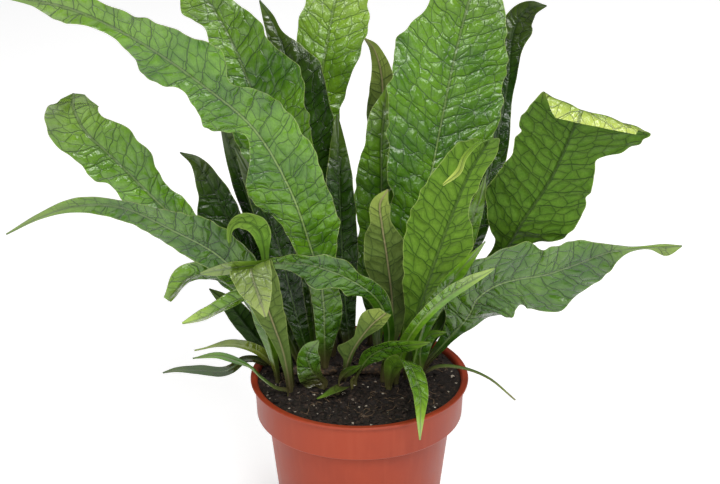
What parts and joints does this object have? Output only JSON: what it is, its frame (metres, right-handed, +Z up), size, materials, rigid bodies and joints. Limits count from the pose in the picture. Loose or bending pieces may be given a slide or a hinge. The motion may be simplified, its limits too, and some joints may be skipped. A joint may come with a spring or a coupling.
{
  "type": "potted fern",
  "caption": "Crocodile fern with long, ruffled, net-veined fronds rising from creeping rhizomes in peat, in a round lipped nursery pot.",
  "frame": {"origin": "middle of the pot's flat base, on the surface it stands on", "axes": "+Z up along the pot's axis, -Y towards the front of the plant, +X to its right"},
  "size_m": [0.3583, 0.1659, 0.3405],
  "materials": {
    "pot_plastic": "satin moulded terracotta-coloured plastic",
    "peat": "damp dark peat with pale specks",
    "rhizome": "dull, scaly and fibrous",
    "leaf_green": "glossy green frond with a net of dark veins",
    "leaf_dark_green": "glossy dark green frond with a net of dark veins",
    "leaf_bright_green": "glossy bright green frond with a net of dark veins",
    "leaf_grey_green": "duller grey-green frond seen from its underside",
    "leaf_yellow_green": "young yellow-green frond"
  },
  "bodies": {
    "root": {"pot": "pot_plastic", "peat": "peat", "rhizome_left": "rhizome", "rhizome_right": "rhizome", "frond_long_left": "leaf_green", "frond_top_left": "leaf_green", "frond_top_narrow": "leaf_dark_green", "frond_top_bright": "leaf_bright_green", "frond_dark_centre": "leaf_dark_green", "frond_curled_back": "leaf_grey_green", "frond_tall_right": "leaf_green", "frond_hook_back": "leaf_dark_green", "frond_lance_centre": "leaf_green", "frond_small_centre": "leaf_grey_green", "frond_curled_centre": "leaf_bright_green", "frond_broad_right": "leaf_green", "frond_low_right": "leaf_green", "frond_rolled_left": "leaf_green", "frond_far_left": "leaf_green", "frond_dark_left": "leaf_dark_green", "frond_shaded_back": "leaf_dark_green", "frond_shaded_front": "leaf_dark_green", "frond_hooded_left": "leaf_bright_green", "frond_front_arch": "leaf_bright_green", "frond_folded_front": "leaf_grey_green", "frond_bulged_left": "leaf_green", "frond_narrow_left": "leaf_bright_green", "frond_back_left": "leaf_dark_green", "frond_yellow_left": "leaf_yellow_green", "frond_stalked_left": "leaf_green", "frond_dark_low_left": "leaf_dark_green", "frond_wavy_base": "leaf_green", "frond_tiny_front": "leaf_bright_green", "frond_small_front": "leaf_green", "frond_cupped_front": "leaf_grey_green", "frond_pointed_front": "leaf_green", "frond_over_rim": "leaf_bright_green", "frond_narrow_right": "leaf_bright_green", "frond_crimped_right": "leaf_green", "frond_thin_right": "leaf_grey_green", "frond_edge_right": "leaf_green", "frond_triangle_right": "leaf_green", "sprout": "leaf_yellow_green"}
  },
  "joints": []
}
